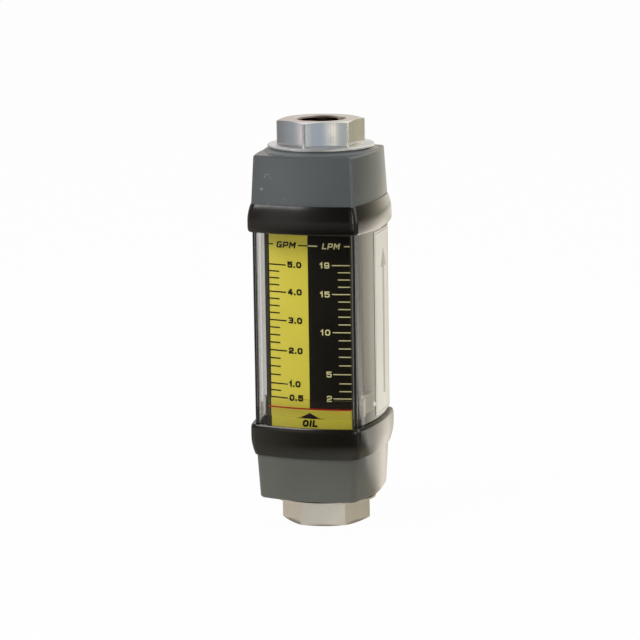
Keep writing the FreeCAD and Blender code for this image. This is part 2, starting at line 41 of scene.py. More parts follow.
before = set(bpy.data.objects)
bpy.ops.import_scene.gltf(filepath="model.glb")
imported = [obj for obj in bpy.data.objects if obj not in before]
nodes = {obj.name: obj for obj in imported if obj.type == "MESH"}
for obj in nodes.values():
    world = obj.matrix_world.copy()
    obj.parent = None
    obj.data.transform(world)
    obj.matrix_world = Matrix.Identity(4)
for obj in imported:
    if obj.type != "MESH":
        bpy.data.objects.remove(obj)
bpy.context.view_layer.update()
MM = 0.001


# ---- camera: level with the scale's middle, from the reader's right and a little above
camera_aim = Vector((0.0, 0.0, 84 * MM))
camera_distance = 1.324
camera_azimuth = math.radians(19.055)
camera_elevation = math.radians(10.284)
camera_roll = math.radians(-0.835)
camera_lens = 179.74
framing_right = -1.485 * MM     # how far the aim lies from the picture's middle
framing_up = -0.077 * MM


def make_camera():
    level = Vector((math.cos(camera_azimuth), math.sin(camera_azimuth), 0))
    back = Vector((math.sin(camera_azimuth) * math.cos(camera_elevation),
                   -math.cos(camera_azimuth) * math.cos(camera_elevation),
                   math.sin(camera_elevation)))
    upright = back.cross(level)
    right = level * math.cos(camera_roll) + upright * math.sin(camera_roll)
    up = upright * math.cos(camera_roll) - level * math.sin(camera_roll)
    place = camera_aim + back * camera_distance
    target = camera_aim + right * framing_right + up * framing_up
    back = (place - target).normalized()
    right = up.cross(back).normalized()
    up = back.cross(right)
    data = bpy.data.cameras.new("camera")
    data.lens = camera_lens
    data.clip_end = 50
    camera = bpy.data.objects.new("camera", data)
    camera.matrix_world = Matrix((
        (right.x, up.x, back.x, place.x), (right.y, up.y, back.y, place.y),
        (right.z, up.z, back.z, place.z), (0, 0, 0, 1)))
    bpy.context.scene.collection.objects.link(camera)
    bpy.context.scene.camera = camera


# ---- node trees
class Tree:
    """Short calls for a material's or world's node tree."""

    def __init__(self, owner):
        owner.use_nodes = True
        self.tree = owner.node_tree
        self.tree.nodes.clear()

    def add(self, kind, **settings):
        node = self.tree.nodes.new(kind)
        for name, value in settings.items():
            setattr(node, name, value)
        return node

    def put(self, socket, value):
        if isinstance(value, bpy.types.NodeSocket):
            self.tree.links.new(value, socket)
        elif isinstance(value, tuple) and socket.type == "RGBA" and len(value) == 3:
            socket.default_value = (*value, 1)
        else:
            socket.default_value = value

    def fill(self, node, **values):
        for name, value in values.items():
            self.put(node.inputs[name.replace("_", " ")], value)
        return node

    def math(self, operation, first, second=0.0):
        node = self.add("ShaderNodeMath", operation=operation)
        self.put(node.inputs[0], first)
        self.put(node.inputs[1], second)
        return node.outputs[0]

    def spread(self, value, low, high, start=0.0, end=1.0):
        """value from start..end turned into low..high."""
        node = self.fill(self.add("ShaderNodeMapRange"), Value=value, From_Min=start, From_Max=end,
                         To_Min=low, To_Max=high)
        return node.outputs[0]

    def blend(self, share, first, second):
        node = self.add("ShaderNodeMix", data_type="RGBA")
        self.put(node.inputs[0], share)
        self.put(node.inputs[6], first)
        self.put(node.inputs[7], second)
        return node.outputs[2]

    def axes(self, vector):
        """The vector's X, Y and Z."""
        node = self.add("ShaderNodeSeparateXYZ")
        self.put(node.inputs[0], vector)
        return node.outputs

    def place(self, scale=(1.0, 1.0, 1.0)):
        coords = self.add("ShaderNodeTexCoord").outputs["Object"]
        return self.fill(self.add("ShaderNodeMapping"), Vector=coords, Scale=scale).outputs[0]

    def noise(self, scale, detail=3.0, stretch=(1.0, 1.0, 1.0), roughness=0.5):
        node = self.fill(self.add("ShaderNodeTexNoise"), Vector=self.place(stretch), Scale=scale,
                         Detail=detail, Roughness=roughness)
        return node.outputs["Fac"]

    def bump(self, height, distance, strength=1.0, normal=None):
        node = self.fill(self.add("ShaderNodeBump"), Height=height, Distance=distance,
                         Strength=strength)
        if normal is not None:
            self.put(node.inputs["Normal"], normal)
        return node.outputs[0]

    def any_ray(self, *kinds):
        """1 for a ray of any of these kinds."""
        path = self.add("ShaderNodeLightPath")
        found = path.outputs[kinds[0]]
        for kind in kinds[1:]:
            found = self.math("MAXIMUM", found, path.outputs[kind])
        return found


def srgb(red, green, blue):
    """Linear colour from a screen colour of 0 to 255."""
    shares = [c / 255 for c in (red, green, blue)]
    return tuple(c / 12.92 if c <= 0.04045 else ((c + 0.055) / 1.055) ** 2.4 for c in shares)


def new_material(name):
    material = bpy.data.materials.new(name)
    tree = Tree(material)
    return material, tree, tree.add("ShaderNodeBsdfPrincipled"), tree.add("ShaderNodeOutputMaterial")


def surface(name, colour, other, roughness, metallic=0.0, mottle=60.0, stretch=(1.0, 1.0, 1.0),
            grain=900.0, grain_depth=0.01, rough_spread=0.08, specular=0.5, coat=0.0,
            coat_roughness=0.03, scuffs=None):
    """Two close colours mixed by a broad noise, with a fine grain in roughness and bump.

    scuffs is the colour of a few small marks on the left of the piece.
    """
    material, tree, shader, output = new_material(name)
    broad = tree.noise(mottle, 4.0, stretch)
    fine = tree.noise(grain, 2.0, stretch)
    share = tree.spread(broad, 0.0, 1.0, 0.3, 0.7)
    rough = tree.spread(tree.math("ADD", broad, fine), roughness - rough_spread,
                        roughness + rough_spread, 0.6, 1.4)
    paint = tree.blend(share, colour, other)
    if scuffs:
        left = tree.spread(tree.axes(tree.place())["X"], 0.6, 0.0, -13 * MM, -5 * MM)
        marks = tree.spread(tree.noise(520.0, 2.0), 0.0, 1.0, 0.66, 0.74)
        paint = tree.blend(tree.math("MULTIPLY", left, marks), paint, scuffs)
    tree.fill(shader, Base_Color=paint, Roughness=rough, Metallic=metallic,
              Specular_IOR_Level=specular, Coat_Weight=coat, Coat_Roughness=coat_roughness,
              Normal=tree.bump(fine, grain_depth * MM))
    tree.put(output.inputs["Surface"], shader.outputs[0])
    return material


def translucent(material, colour, share):
    """The same material, with a share of the light behind it shining through."""
    tree = material.node_tree
    output = next(n for n in tree.nodes if n.type == "OUTPUT_MATERIAL")
    front = output.inputs["Surface"].links[0].from_socket
    behind, mix = (tree.nodes.new(kind) for kind in ("ShaderNodeBsdfTranslucent",
                                                     "ShaderNodeMixShader"))
    behind.inputs["Color"].default_value = (*colour, 1)
    mix.inputs[0].default_value = share
    tree.links.new(front, mix.inputs[1])
    tree.links.new(behind.outputs[0], mix.inputs[2])
    tree.links.new(mix.outputs[0], output.inputs["Surface"])
    return material


# painted shade: within these radii the ports' metal turns to the dark bore tint, as the hollow of the
# bore is in shade
bore_shade_reach = (10.3, 10.7)       # between these radii the bore's tint gives way to the faces'
rim_reach = (17.9, 18.1)        # and between these the flange's rim starts


def drawn_metal(name, colour, other, bore, roughness, crown, wave_depth, line_depth, dull_rim=0.0):
    """Bar stock: faces with a slight crown, soft bands and fine lines; the bands' tint is partly
    painted reflection, and bore, painted shade, is its tint inside.
    """
    material, tree, shader, output = new_material(name)
    along = (1.0, 1.0, 0.0)
    across = tree.place(along)
    squared = tree.add("ShaderNodeVectorMath", operation="DOT_PRODUCT")
    tree.put(squared.inputs[0], across)
    tree.put(squared.inputs[1], across)
    normal = tree.axes(tree.add("ShaderNodeNewGeometry").outputs["True Normal"])
    upright = tree.math("SUBTRACT", 1.0, tree.math("ABSOLUTE", normal["Z"]))
    bands = tree.noise(110.0, 1.0, along)
    lines = tree.noise(2600.0, 2.0, (1.0, 1.0, 0.01))
    wear = tree.noise(240.0, 4.0)
    dome = tree.math("MULTIPLY", squared.outputs["Value"], -crown)
    dome = tree.math("ADD", dome, tree.math("MULTIPLY", bands, wave_depth * MM))
    shape = tree.bump(tree.math("MULTIPLY", dome, upright), 1.0)
    fine = tree.bump(tree.math("ADD", lines, tree.math("MULTIPLY", wear, 0.3)),
                     line_depth * MM, 1.0, shape)
    rough = tree.spread(tree.math("ADD", lines, wear), roughness - 0.05, roughness + 0.05, 0.6, 1.4)
    rim = tree.spread(squared.outputs["Value"], 0.0, dull_rim, *((r * MM) ** 2 for r in rim_reach))
    rough = tree.math("ADD", rough, rim)
    # partly the bar's own tone, partly painted reflection: the bands mix a cool and a warm tint like
    # the streaks that drawn faces mirror
    tint = tree.blend(tree.spread(bands, 0.0, 1.0, 0.35, 0.65), colour, other)
    # painted shade: inside the bore the base colour turns to the bore's dark tint
    inside = tree.spread(squared.outputs["Value"], 1.0, 0.0, *((r * MM) ** 2 for r in bore_shade_reach))
    tree.fill(shader, Base_Color=tree.blend(inside, tint, bore), Roughness=rough, Metallic=1.0,
              Normal=fine)
    tree.put(output.inputs["Surface"], shader.outputs[0])
    return material


def clear(name, tint, edge, roughness, ior=1.49):
    """Clear plastic, darker where it is seen edge on, partly its own tint over a long path and partly
    painted shade, that lets light through to what it covers.
    """
    material, tree, shader, output = new_material(name)
    haze = tree.spread(tree.noise(150.0, 4.0), roughness * 0.5, roughness * 1.5, 0.3, 0.7)
    facing = tree.fill(tree.add("ShaderNodeLayerWeight"), Blend=0.5).outputs["Facing"]
    # painted shade in part: the base colour darkens towards edge where the wall is seen edge on
    colour = tree.blend(tree.spread(facing, 0.0, 1.0, 0.4, 0.85), tint, edge)
    tree.fill(shader, Base_Color=colour, Roughness=haze, IOR=ior, Transmission_Weight=1.0)
    lamps = tree.fill(tree.add("ShaderNodeBsdfTransparent"), Color=tint)
    mix = tree.add("ShaderNodeMixShader")
    tree.put(mix.inputs[0], tree.any_ray("Is Shadow Ray", "Is Diffuse Ray"))
    tree.put(mix.inputs[1], shader.outputs[0])
    tree.put(mix.inputs[2], lamps.outputs[0])
    tree.put(output.inputs["Surface"], mix.outputs[0])
    return material


# ---- studio: white all round for the camera; metal, plastic and glass meet coloured walls
backdrop_white = (1.0, 1.0, 1.0)
room_dark = (0.020, 0.016, 0.012)
ambient = (0.52, 0.52, 0.51)
# What only mirrored rays meet, by turn about the meter: degrees from the front to the reader's right.
# Over 1 is a strip light. The floor has rings of such colours, placed so that from make_camera's
# view each height on the meter mirrors its own ring: apron for the lower port, low_walls for the
# window and what is below it, walls, as in the world, for the upper cap and guard, and high_walls
# for the upper port. From other views the same rings fall on other heights.
high_walls = ((-180, (0.84, 0.80, 0.70)), (-140, (0.60, 0.58, 0.54)), (-120, (0.34, 0.33, 0.32)),
              (-105, (0.20, 0.19, 0.18)), (-94, (0.22, 0.21, 0.21)), (-87, (0.30, 0.33, 0.36)),
              (-83, (0.36, 0.39, 0.42)), (-80, (0.76, 0.70, 0.70)), (-68, (0.70, 0.64, 0.62)),
              (-50, (0.72, 0.70, 0.68)), (-36, (0.90, 0.90, 0.90)), (-23, (1.05, 1.05, 1.07)),
              (12, (1.05, 1.06, 1.06)), (20, (0.66, 0.66, 0.64)), (26, (0.66, 0.66, 0.64)),
              (28, (0.36, 0.42, 0.48)), (33.5, (0.40, 0.46, 0.52)), (34.5, (1.05, 0.98, 0.82)),
              (37, (1.0, 0.94, 0.80)), (38.5, (0.40, 0.44, 0.45)), (44, (0.48, 0.48, 0.47)),
              (58, (0.42, 0.42, 0.41)), (73, (0.27, 0.27, 0.26)), (90, (0.16, 0.16, 0.15)),
              (124, (0.32, 0.30, 0.23)), (145, (0.42, 0.39, 0.28)), (168, (0.44, 0.41, 0.30)),
              (176, (0.84, 0.80, 0.70)))
walls = ((-180, (1.18, 1.11, 0.93)), (-160, (0.62, 0.56, 0.50)), (-120, (0.34, 0.33, 0.32)),
         (-94, (0.22, 0.21, 0.21)), (-68, (0.30, 0.28, 0.27)), (-52, (0.20, 0.18, 0.17)),
         (-46, (0.32, 0.29, 0.27)), (-38, (0.60, 0.55, 0.52)), (-22, (0.60, 0.55, 0.52)),
         (-17, (0.46, 0.42, 0.39)), (-13, (0.24, 0.22, 0.20)), (-6, (0.13, 0.12, 0.11)),
         (2, (0.04, 0.04, 0.04)), (14, room_dark), (20, (0.38, 0.40, 0.43)),
         (48, (0.34, 0.36, 0.38)), (51, (4.8, 4.6, 4.2)), (56, (4.8, 4.6, 4.2)),
         (59, (0.08, 0.08, 0.07)), (124, (0.08, 0.08, 0.06)), (138, (0.15, 0.14, 0.11)),
         (152, (0.52, 0.48, 0.36)), (164, (1.05, 0.98, 0.78)), (172, (1.25, 1.17, 0.96)))
low_walls = ((-180, (0.88, 0.82, 0.70)), (-172, (1.0, 0.93, 0.80)), (-160, (0.62, 0.56, 0.50)),
             (-140, (0.60, 0.56, 0.52)), (-120, (0.34, 0.33, 0.32)), (-105, (0.20, 0.19, 0.18)),
             (-94, (0.22, 0.21, 0.21)), (-83, (0.36, 0.39, 0.42)), (-80, (0.76, 0.70, 0.70)),
             (-68, (0.70, 0.64, 0.62)), (-50, (0.58, 0.54, 0.44)), (-40, (0.42, 0.39, 0.32)),
             (-30, (0.26, 0.24, 0.20)), (-18, (0.10, 0.09, 0.07)), (-2, (0.03, 0.03, 0.02)),
             (14, room_dark), (24, (0.06, 0.05, 0.04)), (60, (0.10, 0.09, 0.08)),
             (84, (0.50, 0.47, 0.43)), (96, (0.20, 0.19, 0.18)), (124, (0.10, 0.10, 0.08)),
             (131, (0.12, 0.11, 0.10)), (132.5, (2.6, 2.5, 2.3)), (134.5, (2.6, 2.5, 2.3)),
             (136, (1.5, 1.38, 1.17)), (146, (2.10, 1.94, 1.66)), (157, (2.50, 2.30, 2.00)),
             (164, (2.20, 2.04, 1.76)), (172, (1.25, 1.16, 1.00)))
apron = ((-180, (0.62, 0.58, 0.50)), (-160, (0.80, 0.77, 0.68)), (-110, (0.52, 0.47, 0.38)),
         (-60, (0.56, 0.51, 0.43)), (10, (0.60, 0.58, 0.52)), (25, (0.68, 0.64, 0.57)),
         (60, (0.50, 0.46, 0.37)), (133, (0.43, 0.39, 0.29)), (142, (1.30, 1.20, 1.00)),
         (152, (2.20, 2.05, 1.76)), (166, (1.35, 1.25, 1.08)))
# painted shadow: the floor right under the lower port, dark for mirrored rays as its contact shadow
under_port_painted_shadow = (0.26, 0.23, 0.18)
rear_wall = (0.84, 0.80, 0.70)
floor_rings = ((0.0184, 0.019, apron), (0.07, 0.12, low_walls), (0.88, 0.90, walls),
               (1.19, 1.21, high_walls), (1.6, 1.8, walls))     # start, full from, colours
# what rays through glass meet: white behind the meter, a dark room in front of it
shade = (0.14, 0.13, 0.12)
through = ((-180, backdrop_white), (-136, backdrop_white), (-118, shade), (-50, room_dark),
           (50, room_dark), (118, shade), (150, shade), (160, backdrop_white))


def mirror_colours(tree, direction, stops):
    """Colour by the direction's turn about the flow axis."""
    axes = tree.axes(direction)
    turn = tree.math("ARCTAN2", axes["X"], tree.math("MULTIPLY", axes["Y"], -1.0))
    ramp = tree.add("ShaderNodeValToRGB")
    tree.put(ramp.inputs[0], tree.spread(turn, 0.0, 1.0, -math.pi, math.pi))
    elements = ramp.color_ramp.elements
    for degrees, colour in stops[1:]:
        elements.new(0.5 + degrees / 360).color = (*colour, 1)
    elements[0].color = elements[-1].color = (*stops[0][1], 1)
    return ramp.outputs[0]


def make_world():
    world = bpy.data.worlds.new("tent")
    bpy.context.scene.world = world
    tree = Tree(world)
    towards = tree.add("ShaderNodeTexCoord").outputs["Generated"]
    axes = tree.axes(towards)
    rear = tree.spread(axes["Y"], 0.0, 1.0, -0.1, 0.3)
    upper = tree.spread(axes["Z"], 0.0, 1.0, 0.25, 0.6)
    back = tree.spread(axes["Y"], 0.0, 1.0, 0.95, 0.985)
    raised = tree.spread(axes["Z"], 0.0, 1.0, 0.04, 0.07)
    roof = tree.blend(rear, room_dark, backdrop_white)
    mirrored = tree.blend(tree.math("MULTIPLY", back, raised), mirror_colours(tree, towards, walls),
                          rear_wall)
    mirrored = tree.blend(upper, mirrored, roof)
    mirrored = tree.blend(tree.any_ray("Is Diffuse Ray"), mirrored, ambient)
    behind_glass = mirror_colours(tree, towards, through)
    seen = tree.blend(tree.any_ray("Is Transmission Ray"), mirrored, behind_glass)
    colour = tree.blend(tree.any_ray("Is Camera Ray"), seen, backdrop_white)
    background = tree.fill(tree.add("ShaderNodeBackground"), Color=colour, Strength=1.0)
    output = tree.add("ShaderNodeOutputWorld")
    tree.put(output.inputs["Surface"], background.outputs[0])


def make_floor():
    half, glow_share = 9.0, 0.97
    mesh = bpy.data.meshes.new("floor")
    mesh.from_pydata([(-half, -half, 0), (half, -half, 0), (half, half, 0), (-half, half, 0)], [],
                     [(0, 1, 2, 3)])
    floor = bpy.data.objects.new("floor", mesh)
    bpy.context.scene.collection.objects.link(floor)
    material, tree, shader, output = new_material("floor_white")
    tree.fill(shader, Base_Color=(0.82, 0.82, 0.81), Roughness=0.7)
    place = tree.place()
    away = tree.add("ShaderNodeVectorMath", operation="LENGTH")
    tree.put(away.inputs[0], place)
    distance = away.outputs["Value"]
    # innermost, the painted shadow under the port
    mirrored = under_port_painted_shadow
    for start, end, stops in floor_rings:
        outside = tree.spread(distance, 0.0, 1.0, start, end)
        mirrored = tree.blend(outside, mirrored, mirror_colours(tree, place, stops))
    behind_glass = mirror_colours(tree, place, through)
    seen = tree.blend(tree.any_ray("Is Transmission Ray"), mirrored, behind_glass)
    colour = tree.blend(tree.any_ray("Is Camera Ray"), seen, backdrop_white)
    glow = tree.fill(tree.add("ShaderNodeEmission"), Color=colour, Strength=1.0)
    mix = tree.add("ShaderNodeMixShader")
    watched = tree.any_ray("Is Camera Ray", "Is Glossy Ray", "Is Transmission Ray")
    tree.put(mix.inputs[0], tree.math("MULTIPLY", watched, glow_share))
    tree.put(mix.inputs[1], shader.outputs[0])
    tree.put(mix.inputs[2], glow.outputs[0])
    tree.put(output.inputs["Surface"], mix.outputs[0])
    mesh.materials.append(material)


def softbox(name, azimuth, elevation, distance, width, height, watts, colour=(1.0, 1.0, 1.0)):
    """Area lamp aimed at the meter's middle; azimuth 0 is in front and 90 on the reader's right."""
    a, e = math.radians(azimuth), math.radians(elevation)
    towards = Vector((math.sin(a) * math.cos(e), -math.cos(a) * math.cos(e), math.sin(e)))
    data = bpy.data.lights.new(name, "AREA")
    data.shape = "RECTANGLE"
    data.size, data.size_y = width, height
    data.energy = watts
    data.color = colour
    lamp = bpy.data.objects.new(name, data)
    lamp.location = camera_aim + towards * distance
    lamp.rotation_mode = "QUATERNION"
    lamp.rotation_quaternion = towards.to_track_quat("Z", "Y")
    bpy.context.scene.collection.objects.link(lamp)


# ---- making pieces
def new_piece(name, points, faces, material, body):
    mesh = bpy.data.meshes.new(name)
    mesh.from_pydata(points, [], faces)
    mesh.materials.append(material)
    piece = bpy.data.objects.new(name, mesh)
    bpy.context.scene.collection.objects.link(piece)
    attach(piece, body)
    return piece


corner = 0.22
ring = [(corner, 0), (1 - corner, 0), (1, corner), (1, 1 - corner), (1 - corner, 1), (corner, 1),
        (0, 1 - corner), (0, corner)]
# each letter's width as a share of a full one, and its strokes in a unit square, open or closed
letters = {
    "0": (1.0, [(ring, True)]),
    "O": (1.0, [(ring, True)]),
    "1": (0.5, [([(0, 0.74), (1, 1), (1, 0)], False)]),
    "2": (1.0, [([(0, 0.8), (0, 0.86), (0.16, 1), (0.84, 1), (1, 0.86), (1, 0.62), (0.86, 0.5),
                  (0.16, 0.36), (0, 0.22), (0, 0), (1, 0)], False)]),
    "3": (1.0, [([(0.1, 1), (0.84, 1), (1, 0.88), (1, 0.62), (0.84, 0.52), (0.84, 0.5), (1, 0.38),
                  (1, 0.12), (0.84, 0), (0.1, 0)], False), ([(0.4, 0.51), (0.66, 0.51)], False)]),
    "4": (1.0, [([(0.98, 0.24), (0, 0.24), (0, 0.3), (0.62, 1), (0.72, 1), (0.72, 0)], False)]),
    "5": (1.0, [([(0.96, 1), (0, 1), (0, 0.6), (0.84, 0.6), (1, 0.46), (1, 0.14), (0.84, 0),
                  (0.16, 0), (0, 0.13), (0, 0.16)], False)]),
    "9": (1.0, [([(1, 0.44), (0.16, 0.44), (0, 0.56), (0, 0.86), (0.16, 1), (0.84, 1), (1, 0.86),
                  (1, 0.14), (0.84, 0), (0.16, 0), (0, 0.13)], False)]),
    ".": (0.0, [([(0, 0), (0, 0.01)], False)]),
    "G": (1.0, [([(0.9, 1), (0.16, 1), (0, 0.86), (0, 0.14), (0.16, 0), (1, 0), (1, 0.42),
                  (0.66, 0.42)], False)]),
    "P": (1.0, [([(0, 0), (0, 1), (0.84, 1), (1, 0.86), (1, 0.5), (0.84, 0.36), (0.22, 0.36)],
                 False)]),
    "M": (1.15, [([(0, 0), (0, 1), (0.08, 1), (0.5, 0.36), (0.92, 1), (1, 1), (1, 0)], False)]),
    "L": (0.85, [([(0, 1), (0, 0), (1, 0)], False)]),
    "I": (0.0, [([(0, 0), (0, 1)], False)]),
}


class Print:
    """Flat shapes in millimetres that are laid on a CAD face, seen along one direction."""

    def __init__(self, node, direction):
        mesh = nodes[node].data
        self.tree = BVHTree.FromPolygons([v.co for v in mesh.vertices],
                                         [tuple(p.vertices) for p in mesh.polygons])
        self.direction = Vector(direction)
        self.points, self.faces = [], []

    def shape(self, points, faces):
        start = len(self.points)
        self.points += points
        self.faces += [tuple(start + i for i in face) for face in faces]

    def bar(self, left, right, low, high, step=1.5):
        """Upright rectangle, cut into strips so that it follows a bow."""
        count = max(1, math.ceil((right - left) / step))
        edges = [left + (right - left) * i / count for i in range(count + 1)]
        points = [(e, z) for e in edges for z in (low, high)]
        self.shape(points, [(2 * i, 2 * i + 2, 2 * i + 3, 2 * i + 1) for i in range(count)])

    def fan(self, outline):
        self.shape(outline, [(0, i, i + 1) for i in range(1, len(outline) - 1)])

    def stroke(self, line, width, closed=False):
        """Polyline of even width with mitred corners."""
        count = len(line)
        left, right = [], []
        for i, (x, y) in enumerate(line):
            before = line[i - 1] if closed or i else None
            after = line[(i + 1) % count] if closed or i < count - 1 else None
            normals = []
            for (x0, y0), (x1, y1) in ([(before, (x, y))] if before else []) + \
                    ([((x, y), after)] if after else []):
                size = math.hypot(x1 - x0, y1 - y0)
                normals.append(((y0 - y1) / size, (x1 - x0) / size))
            nx, ny = (sum(n[k] for n in normals) for k in (0, 1))
            reach = width / 2 * len(normals) / (nx * nx + ny * ny)
            left.append((x + nx * reach, y + ny * reach))
            right.append((x - nx * reach, y - ny * reach))
        links = range(count if closed else count - 1)
        self.shape(left + right, [(i, (i + 1) % count, count + (i + 1) % count, count + i)
                                  for i in links])

    def words(self, text, left, low, height, pitch, weight=0.62, slant=0.0, gap=0.45):
        """Squared lettering from strokes; pitch is the width of a full letter and its gap."""
        at = left
        for letter in text:
            share, lines = letters[letter]
            full = max(weight, (pitch - gap) * share)
            for line, closed in lines:
                placed = []
                for u, v in line:
                    x = at + weight / 2 + u * (full - weight)
                    z = low + weight / 2 + v * (height - weight)
                    placed.append((x + slant * (z - low), z))
                if not closed:
                    for end, inner in ((0, 1), (-1, -2)):
                        (x0, z0), (x1, z1) = placed[end], placed[inner]
                        reach = weight / 2 / math.hypot(x0 - x1, z0 - z1)
                        placed[end] = (x0 + (x0 - x1) * reach, z0 + (z0 - z1) * reach)
                self.stroke(placed, weight, closed)
            at += full + gap

    def lay(self, name, material, body, slot, lift=0.03, thickness=0.05):
        """The shapes as a thin layer that stands lift proud of the face."""
        placed = []
        along_x = abs(self.direction.x) > 0.5
        for across, up in self.points:
            far = Vector((0, across * MM, up * MM)) if along_x else Vector((across * MM, 0, up * MM))
            hit = self.tree.ray_cast(far - self.direction, self.direction)[0]
            placed.append(hit - self.direction * lift * MM)
        piece = new_piece(name, placed, self.faces, material, body)
        body_of_layer = piece.modifiers.new("layer", "SOLIDIFY")
        body_of_layer.thickness = thickness * MM
        body_of_layer.offset = -1
        return piece


# ---- the scale's print
scale_edge = 18.0
black_bottom = 50.3
border_right = -17.3            # a thin black border runs up the scale's left edge
tick_end = 17.75
majors_gpm, majors_lpm = (0.5, 1.0, 2.0, 3.0, 4.0, 5.0), (2, 5, 10, 15, 19)
litres_per_gallon = 3.785


def scale_height(gallons):
    """Where the indicator stands at a flow: a power law, and a straight line at the low end."""
    if gallons < 1:
        return 59.9 - 11.6 * (1 - gallons)
    return 41.6 + 18.3 * gallons ** 0.815


def print_scale(black, cream):
    front = ("scale_plate", (0, 1, 0))
    field = Print(*front)
    bottom, top = (corner.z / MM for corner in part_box("scale_plate"))
    field.bar(0, scale_edge - 0.05, black_bottom, top - 0.05, 1.0)
    field.bar(-scale_edge + 0.05, border_right, bottom + 0.05, top - 0.05)
    field.lay("scale_black_half", black, "housing", "scale_print", 0.02, 0.03)

    dark, light = Print(*front), Print(*front)
    for i in range(19):
        flow = 0.5 + 0.25 * i
        z = scale_height(flow)
        major = flow in majors_gpm
        dark.bar(-scale_edge + 0.1, -9.7 if major else -12.7, z - 0.29, z + 0.29)
        if major:
            dark.words(f"{flow:.1f}", -8.9, z - 1.0, 2.6, 2.72, 0.7)
    for flow in range(2, 20):
        z = scale_height(flow / litres_per_gallon) + 0.35
        major = flow in majors_lpm
        light.bar(10.0 if major else 12.4, tick_end, z - 0.18, z + 0.18)
        if major:
            light.words(str(flow), 5.05 if flow > 9 else 7.25, z - 1.25, 2.45, 2.9, 0.47,
                        gap=0.8)
    header, dash = 116.5, 117.9
    dark.words("GPM", -13.9, header + 0.1, 2.65, 2.85, 0.62, 0.22)
    light.words("LPM", 6.0, header + 0.25, 2.45, 2.5, 0.5, 0.22)
    for sheet, left, right in ((dark, -scale_edge + 0.1, -15.3), (dark, -4.1, 0),
                               (light, 0.1, 4.1), (light, 15.0, tick_end)):
        sheet.bar(left, right, dash - 0.25, dash + 0.25)
    dark.words("OIL", -3.4, 42.6, 2.85, 3.0, 0.8, 0.16)
    flank = [(6.3 - 6.3 * t, 46 + 2.5 * t ** 1.45) for t in (0.0, 0.2, 0.4, 0.6, 0.8, 1.0)]
    for (x0, z0), (x1, z1) in zip(flank, flank[1:]):
        for side in (-1, 1):
            dark.fan([(side * x0, 46), (side * x1, 46), (side * x1, z1), (side * x0, z0)])
    dark.lay("scale_black_print", black, "housing", "scale_print")
    light.lay("scale_cream_print", cream, "housing", "scale_print", 0.04)


def print_line(red):
    """The indicator's line, as wide as the scale, in place of the full-width solid."""
    low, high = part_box("indicator_line")
    middle, half = (low.z + high.z) / 2 / MM, 0.32
    line = Print("indicator_band", (0, 1, 0))
    line.bar(-scale_edge, scale_edge, middle - half, middle + half, 1.0)
    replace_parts(line.lay("indicator_line_print", red, "indicator", "line_red"), "indicator_line")


def frame_border(sheet, left, right, bottom, top, line=0.28):
    for low, high in ((bottom, bottom + line), (top - line, top)):
        sheet.bar(left, right, low, high)
    for low, high in ((left, left + line), (right - line, right)):
        sheet.bar(low, high, bottom + line, top - line)


def print_label(ink):
    """A thin border on each of the label's two flat sides and a plain arrow for the flow."""
    low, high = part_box("wrap_label")
    margin, round_corner = 0.8, 6.5
    bottom, top = low.z / MM + margin, high.z / MM - margin
    side, rear = Print("wrap_label", (-1, 0, 0)), Print("wrap_label", (0, -1, 0))
    near, far = low.y / MM + margin, high.y / MM - round_corner
    frame_border(side, near, far, bottom, top)
    frame_border(rear, low.x / MM + margin, high.x / MM - round_corner, bottom, top)
    middle, shaft, head, half, gap, columns = (near + far) / 2, 1.5, 8.0, 4.5, 7.0, 5
    tip = top - gap
    side.bar(middle - shaft, middle + shaft, bottom + gap, tip - head, 1.0)
    for i in range(-columns, columns):
        left, right = (half * k / columns for k in (i, i + 1))
        side.shape([(middle + left, tip - head), (middle + right, tip - head),
                    (middle + right, tip - head * abs(right) / half),
                    (middle + left, tip - head * abs(left) / half)], [(0, 1, 2, 3)])
    side.lay("label_side_print", ink, "housing", "label_white")
    rear.lay("label_rear_print", ink, "housing", "label_white")


# ---- pipe threads
def pipe_thread(name, mouth, inward, material):
    """Helical ridge on the port's plain wall, from just inside the mouth."""
    wall, crest, pitch, steps = 9.78, 9.12, 1.814, 64
    start, length = 1.6, 12.6
    count = int(length / pitch * steps)
    section = ((wall, -0.46), (crest, -0.06), (crest, 0.06), (wall, 0.46))
    points = []
    for i in range(count + 1):
        angle = 2 * math.pi * i / steps
        fade = min(1.0, i / (steps / 3), (count - i) / (steps / 3)) * 0.97 + 0.03
        for radius, across in section:
            r = wall + (radius - wall) * fade
            depth = start + pitch * i / steps + across * pitch
            points.append((r * math.cos(angle) * MM, r * math.sin(angle) * MM * inward,
                           mouth + inward * depth * MM))
    size = len(section)
    faces = [(0, 1, 2, 3), tuple(count * size + k for k in (3, 2, 1, 0))]
    for i in range(count):
        for k in range(size):
            a, b = i * size + k, i * size + (k + 1) % size
            faces.append((a, a + size, b + size, b))
    new_piece(name, points, faces, material, "core")


# ---- return spring
def coil_spring(name, node, turns, wire, material):
    """Square-wire coil that fills the CAD spring's box and takes its place."""
    low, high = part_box(node)
    outer, bottom, top, steps = high.x / MM, low.z / MM, high.z / MM, 40
    count = turns * steps
    section = ((outer - wire, 0), (outer, 0), (outer, wire), (outer - wire, wire))
    points = []
    for i in range(count + 1):
        angle = 2 * math.pi * i / steps
        rise = bottom + (top - bottom - wire) * i / count
        points += [(r * math.cos(angle) * MM, r * math.sin(angle) * MM, (rise + z) * MM)
                   for r, z in section]
    faces = [(0, 1, 2, 3), tuple(count * 4 + k for k in (3, 2, 1, 0))]
    for i in range(count):
        for k in range(4):
            a, b = i * 4 + k, i * 4 + (k + 1) % 4
            faces.append((a, a + 4, b + 4, b))
    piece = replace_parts(new_piece(name, points, faces, material, "core"), node)
    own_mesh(piece)


